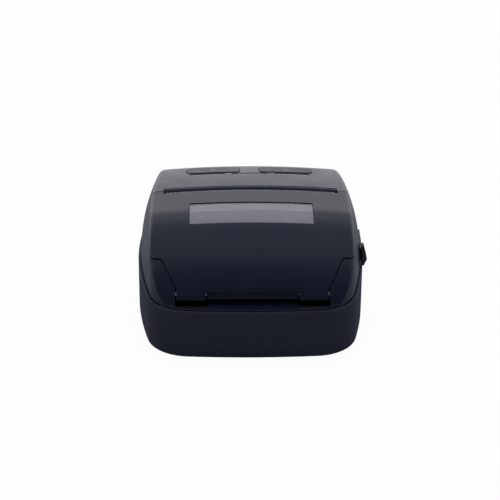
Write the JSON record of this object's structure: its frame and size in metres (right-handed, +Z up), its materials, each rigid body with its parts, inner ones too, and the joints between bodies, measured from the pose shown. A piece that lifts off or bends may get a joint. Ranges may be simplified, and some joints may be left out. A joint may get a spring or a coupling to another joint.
{
  "type": "portable receipt printer",
  "caption": "Portable receipt printer: black bath-shaped lower case, curved lift-up paper cover with a clear window, toothed paper slot, push buttons and a side release lever.",
  "frame": {"origin": "on the table under the middle of the body, between the rubber feet", "axes": "+X to the right across the paper, seen from the front; +Y to the rear, from the hinge towards the buttons; +Z up"},
  "size_m": [0.1109, 0.12, 0.0569],
  "materials": {
    "tub_black": "fine moulded texture",
    "case_gloss": "soft gloss",
    "window_clear": "clear polycarbonate",
    "lens_smoke": "smoked translucent plastic",
    "button_grey": "satin",
    "lever_grey": "satin",
    "slot_grey": "glass-filled moulded plastic",
    "trim_black": "matte moulded",
    "steel_bright": "bright drawn and ground",
    "steel_sheet": "zinc-plated sheet",
    "screw_black": "black oxide",
    "rubber_black": "ground rubber",
    "gear_white": "natural acetal",
    "brass": "plain turned",
    "head_ceramic": "glazed",
    "aluminium": "extruded",
    "board_green": "solder resist",
    "module_grey": "moulded and plated parts",
    "lamp_white": "clear resin",
    "cable_amber": "polyimide film",
    "battery_black": "moulded"
  },
  "bodies": {
    "case": {"lower_case": "tub_black", "rubber_feet": "rubber_black", "upper_case": "case_gloss", "hinge_pin": "steel_bright", "paper_lip": "slot_grey", "printer_frame": "steel_sheet", "frame_screws": "screw_black", "gear_studs": "steel_bright", "stepper_motor": "steel_sheet", "motor_screws": "screw_black", "head_springs": "steel_bright", "paper_tray": "trim_black", "paper_guide": "trim_black", "paper_sensor": "module_grey", "latch_spring": "steel_bright", "main_board": "board_green", "board_screws": "screw_black", "usb_port": "steel_sheet", "dc_jack": "module_grey", "radio_module": "module_grey", "buzzer": "module_grey", "board_sockets": "module_grey", "head_cable": "cable_amber", "motor_cable": "cable_amber", "panel_cable": "cable_amber", "panel_board": "board_green", "panel_screws": "screw_black", "tact_switches": "module_grey", "indicator_lamps": "lamp_white", "indicator_lenses": "lens_smoke", "battery_contacts": "brass", "catch_spring": "steel_bright", "case_screws": "screw_black"},
    "cover": {"paper_cover": "case_gloss", "cover_window": "window_clear", "tear_bar": "slot_grey", "platen_carrier": "trim_black", "cover_screws": "screw_black", "platen_bushes": "gear_white"},
    "platen": {"platen_shaft": "steel_bright", "platen_roller": "rubber_black", "platen_gear": "gear_white"},
    "idler": {"idler_gear": "gear_white"},
    "reduction": {"reduction_gear": "gear_white"},
    "rotor": {"motor_pinion": "brass"},
    "latch": {"latch_shaft": "steel_bright", "latch_hooks": "steel_bright", "release_lever": "lever_grey"},
    "head": {"thermal_head": "head_ceramic", "head_sink": "aluminium"},
    "feed_key": {"feed_button": "button_grey"},
    "power_key": {"power_button": "button_grey"},
    "battery": {"battery_pack": "battery_black"},
    "catch": {"battery_catch": "lever_grey"},
    "flap": {"port_flap": "rubber_black"}
  },
  "joints": [
    {"name": "cover_hinge", "type": "hinge", "parent": "case", "child": "cover", "pos_m": [0, -0.0472, 0.0274], "axis": [1, 0, 0], "range_deg": [0, 70]},
    {"name": "platen_spin", "type": "hinge", "parent": "cover", "child": "platen", "pos_m": [0, 0.003, 0.044], "axis": [1, 0, 0], "continuous": true},
    {"name": "idler_spin", "type": "hinge", "parent": "case", "child": "idler", "pos_m": [0, 0.00616, 0.03446], "axis": [1, 0, 0], "continuous": true},
    {"name": "reduction_spin", "type": "hinge", "parent": "case", "child": "reduction", "pos_m": [0, 0.01721, 0.03446], "axis": [1, 0, 0], "continuous": true},
    {"name": "motor_spin", "type": "hinge", "parent": "case", "child": "rotor", "pos_m": [0, 0.02726, 0.03446], "axis": [1, 0, 0], "continuous": true},
    {"name": "latch_turn", "type": "hinge", "parent": "case", "child": "latch", "pos_m": [0, 0.0075, 0.03], "axis": [-1, 0, 0], "range_deg": [0, 12], "stiffness_Nm_per_rad": 0.2, "springref_deg": -8.59},
    {"name": "head_pivot", "type": "hinge", "parent": "case", "child": "head", "pos_m": [0, 0.0118, 0.034], "axis": [-1, 0, 0], "range_deg": [0, 2], "stiffness_Nm_per_rad": 1.5, "springref_deg": -1.72, "deforming": ["head_springs"]},
    {"name": "feed_press", "type": "slide", "parent": "case", "child": "feed_key", "axis": [0, 0, -1], "range_m": [0, 0.0005], "stiffness_N_per_m": 1500, "springref_m": -0.0003},
    {"name": "power_press", "type": "slide", "parent": "case", "child": "power_key", "axis": [0, 0, -1], "range_m": [0, 0.0005], "stiffness_N_per_m": 1500, "springref_m": -0.0003},
    {"name": "battery_slide", "type": "slide", "parent": "case", "child": "battery", "axis": [0, 0, -1], "range_m": [0, 0.025]},
    {"name": "catch_slide", "type": "slide", "parent": "case", "child": "catch", "axis": [0, -1, 0], "range_m": [0, 0.0025], "stiffness_N_per_m": 300, "springref_m": -0.002, "deforming": ["catch_spring"]},
    {"name": "flap_hinge", "type": "hinge", "parent": "case", "child": "flap", "pos_m": [0, 0.0594, 0.0256], "axis": [-1, 0, 0], "range_deg": [0, 90], "stiffness_Nm_per_rad": 0.0012, "springref_deg": -20.05}
  ],
  "couplings": [
    {"joint": "idler_spin", "follows": "platen_spin", "ratio": -1.5},
    {"joint": "reduction_spin", "follows": "platen_spin", "ratio": 0.85714},
    {"joint": "motor_spin", "follows": "platen_spin", "ratio": -2}
  ]
}
